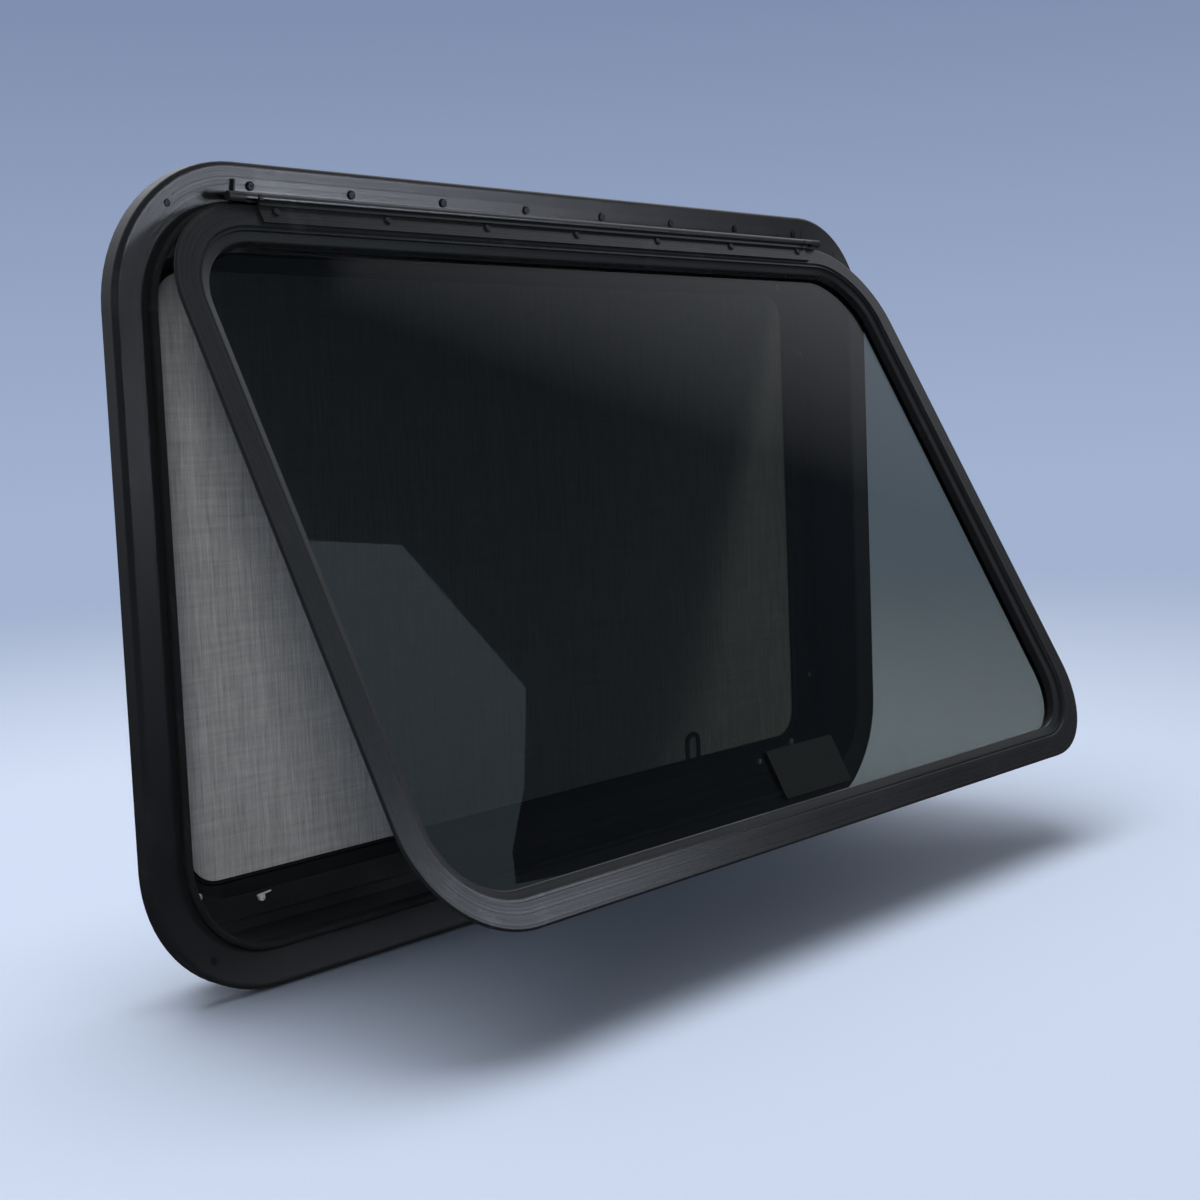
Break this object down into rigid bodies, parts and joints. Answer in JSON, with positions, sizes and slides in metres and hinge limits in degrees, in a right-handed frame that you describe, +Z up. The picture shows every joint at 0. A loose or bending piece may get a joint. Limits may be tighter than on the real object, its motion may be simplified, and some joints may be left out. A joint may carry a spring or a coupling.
{
  "type": "caravan window",
  "caption": "Top-hung caravan window: a bent frame with a full-length hook hinge, a glazed sash that swings outwards and an insect screen inside.",
  "frame": {"origin": "on the frame's flat back face, which lies on the vehicle's skin, at mid width and at the middle of the lower contact band", "axes": "+X along the window, to the right as seen from outside; +Y from the outside into the vehicle; +Z up"},
  "size_m": [0.762, 0.2868, 0.5079],
  "materials": {
    "black_paint": "satin black powder coat on aluminium",
    "black_plastic": "matt black",
    "black_rubber": "matt black",
    "screen_cloth": "coated woven insect screen",
    "tinted_glass": "grey-tinted glass"
  },
  "bodies": {
    "frame": {"outer_frame": "black_paint", "weather_seal": "black_rubber", "hinge_frame_leaf": "black_paint", "hinge_end_cap_left": "black_plastic", "hinge_end_cap_right": "black_plastic", "screen_rail_top": "black_paint", "screen_rail_bottom": "black_paint", "screen_rail_left": "black_paint", "screen_rail_right": "black_paint", "screen_corner_top_left": "black_plastic", "screen_corner_top_right": "black_plastic", "screen_corner_bottom_left": "black_plastic", "screen_corner_bottom_right": "black_plastic", "screen_spline": "black_rubber", "screen_mesh": "screen_cloth", "screen_pull_loop": "black_plastic", "screen_clip_upper_left": "black_paint", "screen_clip_upper_right": "black_paint", "screen_clip_lower_left": "black_paint", "screen_clip_lower_right": "black_paint"},
    "sash": {"sash_frame": "black_paint", "glass_pane": "tinted_glass", "glazing_tape": "black_rubber", "glazing_bead": "black_rubber", "hinge_sash_leaf": "black_paint"}
  },
  "joints": [
    {"name": "sash_hinge", "type": "hinge", "parent": "frame", "child": "sash", "pos_m": [0, -0.0212, 0.47235], "axis": [-1, 0, 0], "range_deg": [-28.6, 16.4]}
  ]
}
